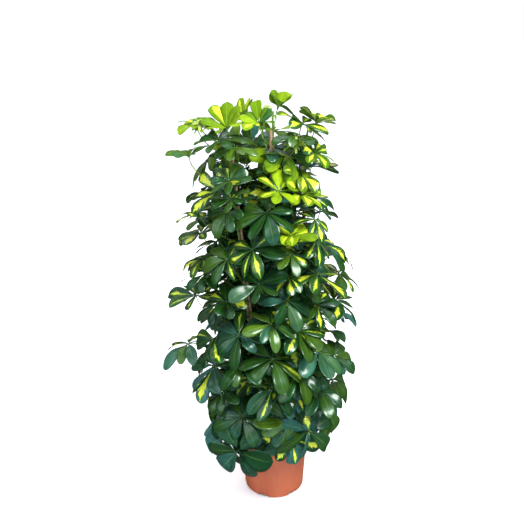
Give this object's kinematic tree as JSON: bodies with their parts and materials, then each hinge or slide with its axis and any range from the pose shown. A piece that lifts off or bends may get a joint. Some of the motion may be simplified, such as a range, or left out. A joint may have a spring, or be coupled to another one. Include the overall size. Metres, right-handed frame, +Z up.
{
  "type": "potted umbrella plant",
  "caption": "Tall bushy dwarf umbrella tree with glossy yellow-splashed palmate leaves, tied to thin wooden canes in a tapered terracotta-coloured plastic nursery pot.",
  "frame": {"origin": "centre of the pot's flat underside, on the surface that the plant stands on", "axes": "+Z up along the pot's axis and the stems; -Y is the front of the plant as pictured; +X is its right as the viewer sees it"},
  "size_m": [0.6788, 0.5857, 1.4],
  "materials": {
    "pot_plastic": "moulded terracotta-coloured polypropylene, satin to matte",
    "soil": "damp dark peat-based potting soil, crumbly and matte",
    "cane_wood": "dry light-brown cane, smooth with faint lengthwise grain",
    "tie": "soft green plastic plant tie, matte",
    "foliage": "waxy glossy leaves, dark green with ragged yellow middles, paler and matte beneath; green to brown stems"
  },
  "bodies": {
    "root": {"pot": "pot_plastic", "soil": "soil", "cane_left": "cane_wood", "cane_front": "cane_wood", "cane_right": "cane_wood", "tie_left_lower": "tie", "tie_left_upper": "tie", "tie_front_lower": "tie", "tie_front_upper": "tie", "tie_right_lower": "tie", "tie_right_upper": "tie", "leafy_stem_left": "foliage", "leafy_stem_front": "foliage", "leafy_stem_right": "foliage", "leafy_stem_back": "foliage"}
  },
  "joints": []
}
